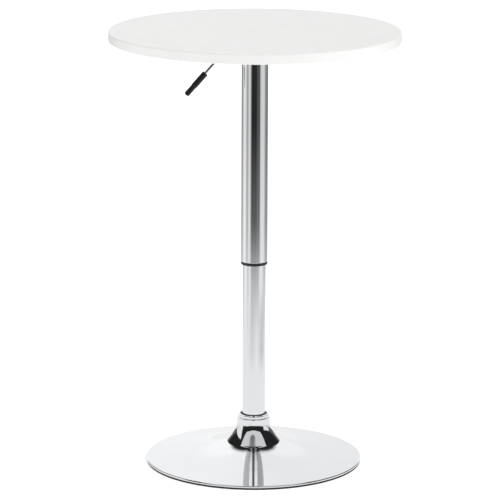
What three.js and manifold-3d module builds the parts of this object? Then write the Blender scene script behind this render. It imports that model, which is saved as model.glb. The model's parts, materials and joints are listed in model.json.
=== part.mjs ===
// A height-adjustable bistro table: a round white top on a gas-lift column with a trumpet-shaped
// chrome base. Millimetres, +Z up. The origin is on the floor under the middle of the column, the
// release lever points along -X, and the table stands at its full height.
//
// Inside the column a gas spring carries the top. Its piston rod stands on a thrust bearing in the
// foot of the column tube, so the top swivels. Its cylinder slides down over the rod when the
// lever presses the release pin. A cover sleeve rides down with it, over the column tube.

import * as THREE from "three";
import { mergeVertices } from "three/addons/utils/BufferGeometryUtils.js";
import Module from "manifold-3d";

const wasm = await Module();
wasm.setup();

// ---------------------------------------------------------------- driving dimensions

const GAP = 0.3; // between pieces that touch

const TABLE_HEIGHT = 910; // floor to the upper face of the top, gas spring extended
const TOP_RADIUS = 300;
const TOP_THICKNESS = 20;
const TOP_EDGE_ROUNDING = 3;

const BASE_RADIUS = 225;
const BASE_RIM_HEIGHT = 8;
const BASE_SHELL_WALL = 1.5;
const NECK_HEIGHT = 100; // top of the trumpet

const FLOOR_RING_HEIGHT = 4;
const FLOOR_RING_INNER_RADIUS = 176;
const FLOOR_RING_OUTER_RADIUS = 224;

const COLUMN_RADIUS = 24;
const COLUMN_WALL = 1.5;
const COLUMN_TOP = 620;

const SLEEVE_RADIUS = 27.5;
const SLEEVE_WALL = 1.2;
const SLEEVE_BOTTOM = 427;
const SLEEVE_TOP = 862;
const END_RING_HEIGHT = 6;

const CYLINDER_RADIUS = 14;
const CYLINDER_BORE = 12.5;
const CYLINDER_BOTTOM = 262;
const CYLINDER_TOP = 866;
const CYLINDER_TAPER_START = 815;
const CYLINDER_TOP_RADIUS = 13.2;

const ROD_RADIUS = 5;
const PISTON_BOTTOM = 292;

const MOUNT_PLATE_SIDE = 180;
const MOUNT_PLATE_THICKNESS = 3;
const MOUNT_BOLT_SPACING = 140;
const MOUNT_HUB_RADIUS = 21;
const MOUNT_HUB_BOTTOM = 840;

const LEVER_HEIGHT = 874; // centreline of the lever's level stretch
const LEVER_ROD_RADIUS = 3;
const LEVER_PIVOT_X = -30;
const LEVER_BEND_X = -55.4;
const LEVER_DROP_ANGLE = THREE.MathUtils.degToRad(49);
const GRIP_DISTANCE = 70.2; // from the bend to the near end of the grip, along the sloping stretch
const GRIP_LENGTH = 60;
const GRIP_RADIUS = 6.3;

// Facets round a circle, by size of piece.
const LARGE_FACETS = 48;
const TUBE_FACETS = 32;
const SMALL_FACETS = 24;
const PIN_FACETS = 16;

// Heights that follow from the ones above.
const TOP_UNDERSIDE = TABLE_HEIGHT - TOP_THICKNESS;
const PLATE_TOP = TOP_UNDERSIDE - GAP;
const PLATE_BOTTOM = PLATE_TOP - MOUNT_PLATE_THICKNESS;
const UNDER_PLATE = PLATE_BOTTOM - GAP; // upper limit of what is welded below the mounting plate

// ---------------------------------------------------------------- finishes

const finish = (color, roughness, metalness) =>
  new THREE.MeshStandardMaterial({ color, roughness, metalness });

const CHROME = finish(0xd9dbde, 0.06, 1);
const WHITE_LACQUER = finish(0xeeeeec, 0.35, 0);
const BLACK_PLASTIC = finish(0x1b1b1d, 0.5, 0);
const BLACK_RUBBER = finish(0x151515, 0.85, 0);
const BLACK_STEEL = finish(0x232426, 0.55, 0.3);
const ZINC_STEEL = finish(0xb7babd, 0.35, 1);
const BARE_STEEL = finish(0x9b9ea2, 0.3, 1);
const BRASS = finish(0xc8a24a, 0.35, 1);

// ---------------------------------------------------------------- geometry helpers

const point = (radius, height) => new THREE.Vector2(radius, height);

// Twice the signed area of a closed outline.
function signedArea(outline) {
  return outline.reduce((sum, a, i) => {
    const b = outline[(i + 1) % outline.length];
    return sum + a.x * b.y - b.x * a.y;
  }, 0);
}

// Turns an outline of (radius, height) points round the Z axis. An outline that touches the axis
// starts and ends on it, and any other is closed here.
function turned(outline, facets) {
  const run = signedArea(outline) < 0 ? [...outline].reverse() : [...outline];
  const onAxis = outline.filter((p) => p.x === 0).length >= 2;
  if (onAxis) {
    while (run[0].x !== 0 || run[run.length - 1].x !== 0) run.push(run.shift());
  } else {
    run.push(run[0].clone());
  }
  return new THREE.LatheGeometry(run, facets).rotateX(Math.PI / 2);
}

// A round solid with a straight hole, or none where the inner radius is 0.
function ring(innerRadius, outerRadius, bottom, top, facets) {
  return turned(
    [
      point(innerRadius, bottom),
      point(outerRadius, bottom),
      point(outerRadius, top),
      point(innerRadius, top),
    ],
    facets,
  );
}

// The outline's points moved sideways by a distance, to the left of its direction.
function offset(outline, distance) {
  return outline.map((p, i) => {
    const before = outline[Math.max(i - 1, 0)];
    const after = outline[Math.min(i + 1, outline.length - 1)];
    const along = after.clone().sub(before).normalize();
    return point(p.x - along.y * distance, p.y + along.x * distance);
  });
}

// A closed geometry as a solid for joining and cutting.
function solid(geometry) {
  const bare = geometry.clone();
  bare.deleteAttribute("normal");
  bare.deleteAttribute("uv");
  const merged = mergeVertices(bare, 1e-4);
  return new wasm.Manifold(
    new wasm.Mesh({
      numProp: 3,
      vertProperties: merged.attributes.position.array,
      triVerts: new Uint32Array(merged.index.array),
    }),
  );
}

// A joined or cut solid back as a geometry.
function geometryOf(made) {
  const mesh = made.getMesh();
  const geometry = new THREE.BufferGeometry();
  geometry.setAttribute("position", new THREE.BufferAttribute(mesh.vertProperties, 3));
  geometry.setIndex(new THREE.BufferAttribute(mesh.triVerts, 1));
  const flat = geometry.toNonIndexed();
  flat.computeVertexNormals();
  return flat;
}

function cut(geometry, ...tools) {
  return geometryOf(tools.reduce((left, tool) => left.subtract(solid(tool)), solid(geometry)));
}

const table = new THREE.Group();

function add(name, geometry, material, parent = table) {
  const mesh = new THREE.Mesh(geometry, material);
  mesh.name = name;
  parent.add(mesh);
  return mesh;
}

// ---------------------------------------------------------------- base

const BASE_PLATE_BOTTOM = FLOOR_RING_HEIGHT + GAP;
const BASE_PLATE_TOP = BASE_PLATE_BOTTOM + 3.5;
const BASE_PLATE_RADIUS = 188;
const BASE_PLATE_HOLE = 15;
const HUB_BOTTOM = BASE_PLATE_TOP + GAP;
const HUB_TOP = 66;
const HUB_OUTER_RADIUS = 28;

// The outer surface of the trumpet below its lip, from the upright neck down to the rim: a flared
// skirt, a tight fillet and a shallow dish.
function trumpetOutline() {
  const neckTop = point(34.4, 92);
  const neckFoot = point(34.5, 84);
  const skirtTop = point(37.2, 70.2);
  const skirtFoot = point(55.6, 43.2);
  const dishStart = point(60.5, 40.2);
  const rimStart = point(BASE_RADIUS - 2.5, BASE_RIM_HEIGHT + 0.2);
  const path = new THREE.Path();
  path.moveTo(neckTop.x, neckTop.y);
  path.lineTo(neckFoot.x, neckFoot.y);
  path.quadraticCurveTo(34.8, 77.4, skirtTop.x, skirtTop.y);
  path.bezierCurveTo(40.4, 60.6, 48.8, 51.6, skirtFoot.x, skirtFoot.y);
  path.quadraticCurveTo(56.7, 41.8, dishStart.x, dishStart.y);
  path.bezierCurveTo(104.5, 21.5, 162.5, 14, rimStart.x, rimStart.y);
  const points = path.getPoints(4);
  return points.filter((p, i) => i === 0 || p.distanceTo(points[i - 1]) > 0.01);
}

// The lip is stepped: a ring round the mouth, and a shoulder out to the neck below it.
const LIP_OUTSIDE = [
  point(28, NECK_HEIGHT),
  point(31, NECK_HEIGHT - 1),
  point(31.5, NECK_HEIGHT - 1.7),
  point(31.55, 93.9),
  point(31.9, 93.5),
  point(33.9, 92.8),
];
const LIP_INSIDE = [
  point(32.8, 91.3),
  point(30, 92.3),
  point(30, NECK_HEIGHT - 2.4),
  point(28, NECK_HEIGHT - BASE_SHELL_WALL),
];

// The spun shell: the trumpet's sheet, rolled down at the rim onto the floor ring.
function baseShell() {
  const outer = trumpetOutline();
  const inner = offset(outer, -BASE_SHELL_WALL);
  const rimBottom = FLOOR_RING_HEIGHT + GAP;
  const rolledRim = [
    point(BASE_RADIUS - 0.7, BASE_RIM_HEIGHT - 0.4),
    point(BASE_RADIUS, BASE_RIM_HEIGHT - 2.2),
    point(BASE_RADIUS, rimBottom),
    point(BASE_RADIUS - BASE_SHELL_WALL, rimBottom),
  ];
  const outline = [...LIP_OUTSIDE, ...outer, ...rolledRim, ...inner.slice(1).reverse(), ...LIP_INSIDE];
  return turned(outline, LARGE_FACETS);
}

add(
  "floor_ring",
  ring(FLOOR_RING_INNER_RADIUS, FLOOR_RING_OUTER_RADIUS, 0, FLOOR_RING_HEIGHT, LARGE_FACETS),
  BLACK_RUBBER,
);
add(
  "base_plate",
  ring(BASE_PLATE_HOLE, BASE_PLATE_RADIUS, BASE_PLATE_BOTTOM, BASE_PLATE_TOP, LARGE_FACETS),
  BLACK_STEEL,
);
add("base_shell", baseShell(), CHROME);
add(
  "base_hub",
  ring(COLUMN_RADIUS + GAP, HUB_OUTER_RADIUS, HUB_BOTTOM, HUB_TOP, TUBE_FACETS),
  BLACK_STEEL,
);

// A snap-in cap that closes the base plate's service hole flush with its underside.
function basePlug() {
  const skirt = BASE_PLATE_HOLE - GAP;
  const skirtInner = skirt - 1.5;
  const face = BASE_PLATE_BOTTOM + 1.7;
  const lipRadius = BASE_PLATE_HOLE + 0.8;
  const lipBottom = BASE_PLATE_TOP + GAP;
  const lipTop = lipBottom + 1.1;
  return turned(
    [
      point(0, BASE_PLATE_BOTTOM),
      point(skirt, BASE_PLATE_BOTTOM),
      point(skirt, lipBottom),
      point(lipRadius, lipBottom),
      point(skirt, lipTop),
      point(skirtInner, lipTop),
      point(skirtInner, face),
      point(0, face),
    ],
    TUBE_FACETS,
  );
}
add("base_plug", basePlug(), BLACK_PLASTIC);

// A plastic bush fills the mouth of the trumpet, with a flange that hooks under its lip.
function neckBush() {
  const inner = COLUMN_RADIUS + GAP;
  const standing = 27.4;
  const flange = 28.9;
  const bottom = 91;
  const lipUnderside = NECK_HEIGHT - 4;
  return turned(
    [
      point(inner, bottom),
      point(flange, bottom),
      point(flange, lipUnderside),
      point(standing, lipUnderside),
      point(standing, NECK_HEIGHT + 1),
      point(inner, NECK_HEIGHT + 1),
    ],
    TUBE_FACETS,
  );
}
add("neck_bush", neckBush(), BLACK_PLASTIC);

// ---------------------------------------------------------------- column tube and its bearings

const COLUMN_BORE = COLUMN_RADIUS - COLUMN_WALL;
const COLUMN_FLOOR_BOTTOM = 14;
const COLUMN_FLOOR_TOP = 20;
const ROD_HOLE = ROD_RADIUS + 0.4;
const WASHER_THICKNESS = 1.5;
const CAGE_THICKNESS = 3;
const BEARING_RADIUS = 11;

add(
  "column_tube",
  ring(COLUMN_BORE, COLUMN_RADIUS, HUB_BOTTOM, COLUMN_TOP, TUBE_FACETS),
  CHROME,
);
add(
  "column_floor",
  ring(ROD_HOLE, COLUMN_BORE - GAP, COLUMN_FLOOR_BOTTOM, COLUMN_FLOOR_TOP, SMALL_FACETS),
  BLACK_STEEL,
);

const LOWER_WASHER = COLUMN_FLOOR_TOP + GAP;
const BEARING_CAGE = LOWER_WASHER + WASHER_THICKNESS + GAP;
const UPPER_WASHER = BEARING_CAGE + CAGE_THICKNESS + GAP;
const ROD_COLLAR = UPPER_WASHER + WASHER_THICKNESS + GAP;

add(
  "thrust_washer_lower",
  ring(ROD_HOLE, BEARING_RADIUS, LOWER_WASHER, LOWER_WASHER + WASHER_THICKNESS, SMALL_FACETS),
  BARE_STEEL,
);
add(
  "thrust_bearing_cage",
  ring(ROD_HOLE + 0.6, BEARING_RADIUS - 0.5, BEARING_CAGE, BEARING_CAGE + CAGE_THICKNESS, SMALL_FACETS),
  BRASS,
);
add(
  "thrust_washer_upper",
  ring(ROD_HOLE, BEARING_RADIUS, UPPER_WASHER, UPPER_WASHER + WASHER_THICKNESS, SMALL_FACETS),
  BARE_STEEL,
);

// The guide bush at the head of the column tube, which the gas cylinder slides through.
function columnGuideBush() {
  const inner = CYLINDER_RADIUS + GAP;
  const outer = COLUMN_BORE - GAP;
  const bottom = COLUMN_TOP - 60;
  return turned(
    [
      point(inner, bottom),
      point(outer, bottom),
      point(outer, COLUMN_TOP + GAP),
      point(COLUMN_RADIUS, COLUMN_TOP + GAP),
      point(COLUMN_RADIUS, COLUMN_TOP + 3),
      point(inner, COLUMN_TOP + 3),
    ],
    TUBE_FACETS,
  );
}
add("column_guide_bush", columnGuideBush(), BLACK_PLASTIC);

// ---------------------------------------------------------------- gas spring

const CLIP_BOTTOM = 11;
const CLIP_TOP = 12.5;
const CLIP_GROOVE = 4;
const COLLAR_RADIUS = 9;
const COLLAR_THICKNESS = 3;
const ROD_BOTTOM = 9.5;
const ROD_END_RADIUS = 4;
const PISTON_HEIGHT = 11;
const PISTON_NUT_HEIGHT = 4;
const PISTON_RADIUS = CYLINDER_BORE - GAP;

// The piston rod: a clip groove near its foot, the collar that stands on the bearing, and a
// thinner end for the piston.
function pistonRod() {
  const collarTop = ROD_COLLAR + COLLAR_THICKNESS;
  const end = PISTON_BOTTOM + PISTON_HEIGHT + PISTON_NUT_HEIGHT;
  return turned(
    [
      point(0, ROD_BOTTOM),
      point(ROD_RADIUS, ROD_BOTTOM),
      point(ROD_RADIUS, CLIP_BOTTOM),
      point(CLIP_GROOVE, CLIP_BOTTOM),
      point(CLIP_GROOVE, CLIP_TOP),
      point(ROD_RADIUS, CLIP_TOP),
      point(ROD_RADIUS, ROD_COLLAR),
      point(COLLAR_RADIUS, ROD_COLLAR),
      point(COLLAR_RADIUS, collarTop),
      point(ROD_RADIUS, collarTop),
      point(ROD_RADIUS, PISTON_BOTTOM),
      point(ROD_END_RADIUS, PISTON_BOTTOM),
      point(ROD_END_RADIUS, end),
      point(0, end),
    ],
    SMALL_FACETS,
  );
}
add("piston_rod", pistonRod(), CHROME);

// The open clip that keeps the rod in the column floor.
function rodClip() {
  const clip = ring(CLIP_GROOVE + GAP, COLLAR_RADIUS, CLIP_BOTTOM + 0.2, CLIP_TOP - 0.2, SMALL_FACETS);
  const mouth = new THREE.BoxGeometry(COLLAR_RADIUS * 2, CLIP_GROOVE, 6);
  mouth.translate(COLLAR_RADIUS, 0, CLIP_BOTTOM);
  return cut(clip, mouth);
}
add("rod_clip", rodClip(), BARE_STEEL);

const BUMP_STOP_BOTTOM = ROD_COLLAR + COLLAR_THICKNESS + GAP;
add(
  "bump_stop",
  ring(ROD_RADIUS + GAP, BEARING_RADIUS, BUMP_STOP_BOTTOM, BUMP_STOP_BOTTOM + 12, SMALL_FACETS),
  BLACK_RUBBER,
);

const SEAL_GROOVE = { radius: 10.4, bottom: PISTON_BOTTOM + 4, top: PISTON_BOTTOM + 7 };

function piston() {
  const inner = ROD_END_RADIUS + GAP;
  const bottom = PISTON_BOTTOM + GAP;
  const top = PISTON_BOTTOM + PISTON_HEIGHT - GAP;
  return turned(
    [
      point(inner, bottom),
      point(PISTON_RADIUS, bottom),
      point(PISTON_RADIUS, SEAL_GROOVE.bottom),
      point(SEAL_GROOVE.radius, SEAL_GROOVE.bottom),
      point(SEAL_GROOVE.radius, SEAL_GROOVE.top),
      point(PISTON_RADIUS, SEAL_GROOVE.top),
      point(PISTON_RADIUS, top),
      point(inner, top),
    ],
    SMALL_FACETS,
  );
}
add("piston", piston(), BARE_STEEL);
add(
  "piston_seal",
  ring(
    SEAL_GROOVE.radius + GAP,
    CYLINDER_BORE - 0.2,
    SEAL_GROOVE.bottom + GAP,
    SEAL_GROOVE.top - GAP,
    SMALL_FACETS,
  ),
  BLACK_RUBBER,
);

function pistonNut() {
  const bottom = PISTON_BOTTOM + PISTON_HEIGHT;
  const hexagon = ring(0, 8, bottom, bottom + PISTON_NUT_HEIGHT - 0.5, 6);
  const bore = ring(0, ROD_END_RADIUS + GAP, bottom - 1, bottom + PISTON_NUT_HEIGHT + 1, PIN_FACETS);
  return cut(hexagon, bore);
}
add("piston_nut", pistonNut(), BARE_STEEL);

const PIN_RADIUS = 4;
const PIN_HOLE = PIN_RADIUS + GAP;
const CYLINDER_ROOF = CYLINDER_TOP - 10;
const UPPER_BORE = 12;

// The pressure cylinder: open at the foot, tapered at the head to seize in the mounting hub.
function gasCylinder() {
  return turned(
    [
      point(CYLINDER_BORE, CYLINDER_BOTTOM),
      point(CYLINDER_RADIUS, CYLINDER_BOTTOM),
      point(CYLINDER_RADIUS, CYLINDER_TAPER_START),
      point(CYLINDER_TOP_RADIUS, CYLINDER_TOP),
      point(PIN_HOLE, CYLINDER_TOP),
      point(PIN_HOLE, CYLINDER_ROOF),
      point(UPPER_BORE, CYLINDER_ROOF),
      point(UPPER_BORE, CYLINDER_TAPER_START),
      point(CYLINDER_BORE, CYLINDER_TAPER_START - 5),
    ],
    TUBE_FACETS,
  );
}
add("gas_cylinder", gasCylinder(), BLACK_STEEL);

const GUIDE_BOTTOM = CYLINDER_BOTTOM + 4;
const GUIDE_TOP = GUIDE_BOTTOM + 18;
add(
  "rod_guide",
  ring(ROD_RADIUS + GAP, CYLINDER_BORE - GAP, GUIDE_BOTTOM, GUIDE_TOP, SMALL_FACETS),
  BARE_STEEL,
);
add(
  "rod_seal",
  ring(ROD_RADIUS + GAP, CYLINDER_BORE - GAP, GUIDE_TOP + GAP, PISTON_BOTTOM - 1, SMALL_FACETS),
  BLACK_RUBBER,
);

const VALVE_BOTTOM = 800;
const VALVE_TOP = 834;
add(
  "valve_body",
  ring(PIN_HOLE, UPPER_BORE - GAP, VALVE_BOTTOM, VALVE_TOP, SMALL_FACETS),
  BRASS,
);

// The release pin, with a flange that keeps it in the cylinder.
function releasePin() {
  const bottom = VALVE_BOTTOM + 6;
  const flangeBottom = VALVE_TOP + 5;
  const flangeTop = flangeBottom + 3;
  const flangeRadius = 8;
  const top = LEVER_HEIGHT - LEVER_ROD_RADIUS - 0.4;
  return turned(
    [
      point(0, bottom),
      point(PIN_RADIUS, bottom),
      point(PIN_RADIUS, flangeBottom),
      point(flangeRadius, flangeBottom),
      point(flangeRadius, flangeTop),
      point(PIN_RADIUS, flangeTop),
      point(PIN_RADIUS, top - 1),
      point(PIN_RADIUS - 1, top),
      point(0, top),
    ],
    PIN_FACETS,
  );
}
add("release_pin", releasePin(), BARE_STEEL);

// ---------------------------------------------------------------- cover sleeve

const SLEEVE_BORE = SLEEVE_RADIUS - SLEEVE_WALL;

add(
  "cover_sleeve",
  ring(SLEEVE_BORE, SLEEVE_RADIUS, SLEEVE_BOTTOM + GAP, SLEEVE_TOP, TUBE_FACETS),
  CHROME,
);

// The black ring that closes the foot of the sleeve and slides on the column tube.
function sleeveEndRing() {
  const inner = COLUMN_RADIUS + 0.5;
  const skirt = SLEEVE_BORE - GAP;
  const bottom = SLEEVE_BOTTOM - END_RING_HEIGHT;
  const chamfer = 0.8;
  return turned(
    [
      point(inner, bottom),
      point(SLEEVE_RADIUS - chamfer, bottom),
      point(SLEEVE_RADIUS, bottom + chamfer),
      point(SLEEVE_RADIUS, SLEEVE_BOTTOM),
      point(skirt, SLEEVE_BOTTOM),
      point(skirt, SLEEVE_BOTTOM + 20),
      point(inner, SLEEVE_BOTTOM + 20),
    ],
    TUBE_FACETS,
  );
}
add("sleeve_end_ring", sleeveEndRing(), BLACK_PLASTIC);

// The bush that centres the head of the sleeve on the mounting hub.
function sleeveTopBush() {
  const inner = MOUNT_HUB_RADIUS + GAP;
  const skirt = SLEEVE_BORE - GAP;
  const flangeTop = SLEEVE_TOP + 2;
  return turned(
    [
      point(inner, SLEEVE_TOP - 12),
      point(skirt, SLEEVE_TOP - 12),
      point(skirt, SLEEVE_TOP + GAP),
      point(SLEEVE_RADIUS - 0.2, SLEEVE_TOP + GAP),
      point(SLEEVE_RADIUS - 0.2, flangeTop),
      point(inner, flangeTop),
    ],
    TUBE_FACETS,
  );
}
add("sleeve_top_bush", sleeveTopBush(), BLACK_PLASTIC);

// ---------------------------------------------------------------- mounting hub and plate

const SLOT_HALF_WIDTH = 4.2;

// The welded socket that grips the cylinder's taper, with a slot for the lever.
function mountHub() {
  const headBore = 13.5;
  const footBore = 13.95;
  const hub = turned(
    [
      point(footBore, MOUNT_HUB_BOTTOM),
      point(MOUNT_HUB_RADIUS, MOUNT_HUB_BOTTOM),
      point(MOUNT_HUB_RADIUS, UNDER_PLATE),
      point(headBore, UNDER_PLATE),
      point(headBore, CYLINDER_TOP + GAP),
    ],
    TUBE_FACETS,
  );
  const slotBottom = LEVER_HEIGHT - 6;
  const slotHeight = 30;
  const slot = new THREE.BoxGeometry(MOUNT_HUB_RADIUS + 4, SLOT_HALF_WIDTH * 2, slotHeight);
  slot.translate(-(MOUNT_HUB_RADIUS + 4) / 2, 0, slotBottom + slotHeight / 2);
  return cut(hub, slot);
}
add("mount_hub", mountHub(), BLACK_STEEL);

// A square outline with rounded corners, centred on the origin.
function roundedSquare(side, cornerRadius) {
  const half = side / 2;
  const straight = half - cornerRadius;
  const shape = new THREE.Shape();
  shape.moveTo(-straight, -half);
  shape.lineTo(straight, -half);
  shape.absarc(straight, -straight, cornerRadius, -Math.PI / 2, 0, false);
  shape.absarc(straight, straight, cornerRadius, 0, Math.PI / 2, false);
  shape.absarc(-straight, straight, cornerRadius, Math.PI / 2, Math.PI, false);
  shape.absarc(-straight, -straight, cornerRadius, Math.PI, Math.PI * 1.5, false);
  shape.closePath();
  return shape;
}

// The four bolt places, from the front left one round to the back left one.
const boltPlaces = [
  [-1, -1],
  [1, -1],
  [1, 1],
  [-1, 1],
].map(([x, y]) => point((x * MOUNT_BOLT_SPACING) / 2, (y * MOUNT_BOLT_SPACING) / 2));

const BOLT_RADIUS = 3;
const BOLT_HOLE = BOLT_RADIUS + 0.5;

function mountPlate() {
  const shape = roundedSquare(MOUNT_PLATE_SIDE, 14);
  for (const place of boltPlaces) {
    const hole = new THREE.Path();
    hole.absarc(place.x, place.y, BOLT_HOLE, 0, Math.PI * 2, true);
    shape.holes.push(hole);
  }
  const plate = new THREE.ExtrudeGeometry(shape, {
    depth: MOUNT_PLATE_THICKNESS,
    bevelEnabled: false,
    curveSegments: 8,
  });
  return plate.translate(0, 0, PLATE_BOTTOM);
}
add("mount_plate", mountPlate(), BLACK_STEEL);

// One gusset between hub and plate, along +X.
const RIB_THICKNESS = 3;

function rib() {
  const start = MOUNT_HUB_RADIUS + GAP;
  const foot = SLEEVE_TOP + 4;
  const end = 62;
  const shape = new THREE.Shape();
  shape.moveTo(start, foot);
  shape.lineTo(SLEEVE_RADIUS + 1, foot);
  shape.lineTo(end, UNDER_PLATE - 4);
  shape.lineTo(end, UNDER_PLATE);
  shape.lineTo(start, UNDER_PLATE);
  shape.closePath();
  const geometry = new THREE.ExtrudeGeometry(shape, { depth: RIB_THICKNESS, bevelEnabled: false });
  return geometry.translate(0, 0, -RIB_THICKNESS / 2).rotateX(Math.PI / 2);
}

for (let i = 0; i < 4; i += 1) {
  const mesh = add(`hub_rib_${i + 1}`, rib(), BLACK_STEEL);
  mesh.rotation.z = Math.PI * (0.25 + 0.5 * i);
}

// ---------------------------------------------------------------- fasteners of the top

const WASHER_TOP = UNDER_PLATE;
const WASHER_BOTTOM = WASHER_TOP - 1.3;
const HEAD_TOP = WASHER_BOTTOM - GAP;
const HEAD_HEIGHT = 4;
const HEAD_RADIUS = 5.5;
const BOLT_END = TOP_UNDERSIDE + 12;
const INSERT_RADIUS = 4.7;
const INSERT_TOP = TOP_UNDERSIDE + 14;
const INSERT_BORE = INSERT_RADIUS + GAP;

// A button-headed bolt with a hexagon socket, head down.
function mountBolt() {
  const bolt = turned(
    [
      point(0, HEAD_TOP - HEAD_HEIGHT),
      point(HEAD_RADIUS - 1.5, HEAD_TOP - HEAD_HEIGHT),
      point(HEAD_RADIUS, HEAD_TOP - HEAD_HEIGHT + 2),
      point(HEAD_RADIUS, HEAD_TOP),
      point(BOLT_RADIUS, HEAD_TOP),
      point(BOLT_RADIUS, BOLT_END),
      point(0, BOLT_END),
    ],
    PIN_FACETS,
  );
  const socketDepth = 2.4;
  const socket = ring(0, 2.3, HEAD_TOP - HEAD_HEIGHT - 1, HEAD_TOP - HEAD_HEIGHT + socketDepth, 6);
  return cut(bolt, socket);
}

boltPlaces.forEach((place, i) => {
  const pieces = [
    add(`mount_bolt_${i + 1}`, mountBolt(), ZINC_STEEL),
    add(
      `mount_washer_${i + 1}`,
      ring(BOLT_RADIUS + GAP, 7, WASHER_BOTTOM, WASHER_TOP, PIN_FACETS),
      ZINC_STEEL,
    ),
    add(
      `top_insert_${i + 1}`,
      ring(BOLT_RADIUS + GAP, INSERT_RADIUS, TOP_UNDERSIDE + GAP, INSERT_TOP, PIN_FACETS),
      BRASS,
    ),
  ];
  for (const piece of pieces) piece.position.set(place.x, place.y, 0);
});

// ---------------------------------------------------------------- table top

// A lacquered disc with rounded edges and a blind hole for each insert.
function tableTop() {
  const path = new THREE.Path();
  const straight = TOP_RADIUS - TOP_EDGE_ROUNDING;
  path.moveTo(0, TOP_UNDERSIDE);
  path.lineTo(straight, TOP_UNDERSIDE);
  path.absarc(straight, TOP_UNDERSIDE + TOP_EDGE_ROUNDING, TOP_EDGE_ROUNDING, -Math.PI / 2, 0, false);
  path.absarc(straight, TABLE_HEIGHT - TOP_EDGE_ROUNDING, TOP_EDGE_ROUNDING, 0, Math.PI / 2, false);
  path.lineTo(0, TABLE_HEIGHT);
  const disc = turned(path.getPoints(3), LARGE_FACETS);
  const holes = boltPlaces.map((place) =>
    ring(0, INSERT_BORE, TOP_UNDERSIDE - 1, INSERT_TOP + 1, PIN_FACETS).translate(place.x, place.y, 0),
  );
  return cut(disc, ...holes);
}
add("table_top", tableTop(), WHITE_LACQUER);

// ---------------------------------------------------------------- release lever

const PIVOT_RADIUS = 1.5;
const PIVOT_HOLE = PIVOT_RADIUS + GAP;
const EAR_INNER = 4.4;
const EAR_THICKNESS = 2;

// A round bar across the table, through the lever's pivot.
function acrossPivot(radius, length) {
  return new THREE.CylinderGeometry(radius, radius, length, PIN_FACETS).translate(
    LEVER_PIVOT_X,
    0,
    LEVER_HEIGHT,
  );
}

// The bent-up bracket under the plate: a web and two ears that carry the pivot pin.
function leverBracket() {
  const length = 17;
  const centre = LEVER_PIVOT_X - 1;
  const outer = EAR_INNER + EAR_THICKNESS;
  const foot = LEVER_HEIGHT - 6;
  const shape = new THREE.Shape();
  shape.moveTo(-outer, foot);
  shape.lineTo(-EAR_INNER, foot);
  shape.lineTo(-EAR_INNER, UNDER_PLATE - EAR_THICKNESS);
  shape.lineTo(EAR_INNER, UNDER_PLATE - EAR_THICKNESS);
  shape.lineTo(EAR_INNER, foot);
  shape.lineTo(outer, foot);
  shape.lineTo(outer, UNDER_PLATE);
  shape.lineTo(-outer, UNDER_PLATE);
  shape.closePath();
  const bent = new THREE.ExtrudeGeometry(shape, { depth: length, bevelEnabled: false });
  bent.rotateX(Math.PI / 2).rotateZ(Math.PI / 2).translate(centre - length / 2, 0, 0);
  return cut(bent, acrossPivot(PIVOT_HOLE, outer * 3));
}
add("lever_bracket", leverBracket(), BLACK_STEEL);
add("pivot_pin", acrossPivot(PIVOT_RADIUS, (EAR_INNER + EAR_THICKNESS + 1) * 2), BARE_STEEL);

// Unit vector of the lever's sloping stretch, away from the column and down.
const slopeX = -Math.cos(LEVER_DROP_ANGLE);
const slopeZ = -Math.sin(LEVER_DROP_ANGLE);

const onSlope = (distance) =>
  new THREE.Vector3(LEVER_BEND_X + slopeX * distance, 0, LEVER_HEIGHT + slopeZ * distance);

// The bent steel rod, from over the release pin to inside the grip.
function leverRod() {
  const innerEnd = new THREE.Vector3(PIN_RADIUS, 0, LEVER_HEIGHT);
  const bend = onSlope(0);
  const bendReach = 11;
  const bendStart = bend.clone().setX(LEVER_BEND_X + bendReach);
  const bendEnd = onSlope(bendReach);
  const outerEnd = onSlope(GRIP_DISTANCE + GRIP_LENGTH * 0.75);
  const route = new THREE.CurvePath();
  route.add(new THREE.LineCurve3(innerEnd, bendStart));
  route.add(new THREE.QuadraticBezierCurve3(bendStart, bend, bendEnd));
  route.add(new THREE.LineCurve3(bendEnd, outerEnd));
  const section = new THREE.Shape();
  section.absarc(0, 0, LEVER_ROD_RADIUS, 0, Math.PI * 2, false);
  const rod = new THREE.ExtrudeGeometry(section, {
    steps: 20,
    curveSegments: 6,
    bevelEnabled: false,
    extrudePath: route,
  });
  return cut(rod, acrossPivot(PIVOT_HOLE, LEVER_ROD_RADIUS * 4));
}
add("lever_rod", leverRod(), CHROME);

// The moulded grip, modelled standing on its own Z axis, with a blind bore for the rod.
function leverGrip() {
  const bore = LEVER_ROD_RADIUS + GAP;
  const boreDepth = GRIP_LENGTH * 0.75 + 1;
  const path = new THREE.Path();
  path.moveTo(bore, 0);
  path.lineTo(GRIP_RADIUS - 1.2, 0);
  path.quadraticCurveTo(GRIP_RADIUS, 0, GRIP_RADIUS, 2);
  path.lineTo(GRIP_RADIUS, GRIP_LENGTH * 0.5);
  path.bezierCurveTo(
    GRIP_RADIUS,
    GRIP_LENGTH * 0.6,
    GRIP_RADIUS - 0.9,
    GRIP_LENGTH * 0.6,
    GRIP_RADIUS - 0.8,
    GRIP_LENGTH * 0.7,
  );
  path.lineTo(GRIP_RADIUS - 0.6, GRIP_LENGTH - 4);
  path.quadraticCurveTo(GRIP_RADIUS - 0.6, GRIP_LENGTH, GRIP_RADIUS - 4, GRIP_LENGTH);
  path.lineTo(0, GRIP_LENGTH);
  const outside = path.getPoints(4);
  const whole = turned([point(0, 0), ...outside], SMALL_FACETS);
  const hole = ring(0, bore, -1, boreDepth, PIN_FACETS);
  return cut(whole, hole);
}

const gripFrame = new THREE.Group();
gripFrame.position.copy(onSlope(GRIP_DISTANCE));
gripFrame.rotation.y = -(Math.PI / 2 + LEVER_DROP_ANGLE);
table.add(gripFrame);
add("lever_grip", leverGrip(), BLACK_PLASTIC, gripFrame);

export default table;
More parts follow.
